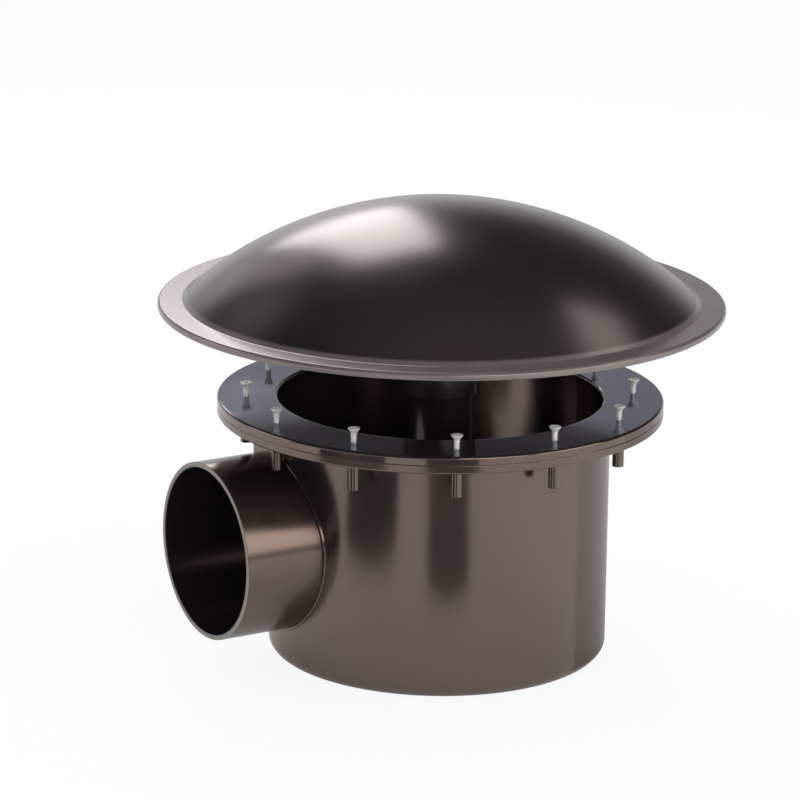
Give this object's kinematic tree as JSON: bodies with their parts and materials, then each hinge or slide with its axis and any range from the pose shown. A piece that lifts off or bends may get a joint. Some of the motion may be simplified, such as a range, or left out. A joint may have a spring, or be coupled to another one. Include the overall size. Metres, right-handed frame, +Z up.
{
  "type": "pond bottom drain",
  "caption": "Round pond bottom drain: moulded tub with a side outlet pipe, a screwed liner clamp ring and a domed lid that lifts on a central column.",
  "frame": {"origin": "on the tub's axis, at the underside of its base", "axes": "+Z up along the tub's axis, -X out along the outlet pipe"},
  "size_m": [0.349, 0.349, 0.2833],
  "materials": {
    "black_plastic": "satin gloss, moulded",
    "stainless_steel": "bright"
  },
  "bodies": {
    "base": {"sump": "black_plastic", "outlet_pipe": "black_plastic", "clamp_ring": "black_plastic", "ring_screws": "stainless_steel"},
    "column": {"column": "black_plastic"},
    "lid": {"dome_lid": "black_plastic"}
  },
  "joints": [
    {"name": "column_turn", "type": "hinge", "parent": "base", "child": "column", "pos_m": [0, 0, 0.1], "axis": [0, 0, 1], "continuous": true},
    {"name": "lid_lift", "type": "slide", "parent": "column", "child": "lid", "axis": [0, 0, 1], "range_m": [0, 0.08]}
  ]
}
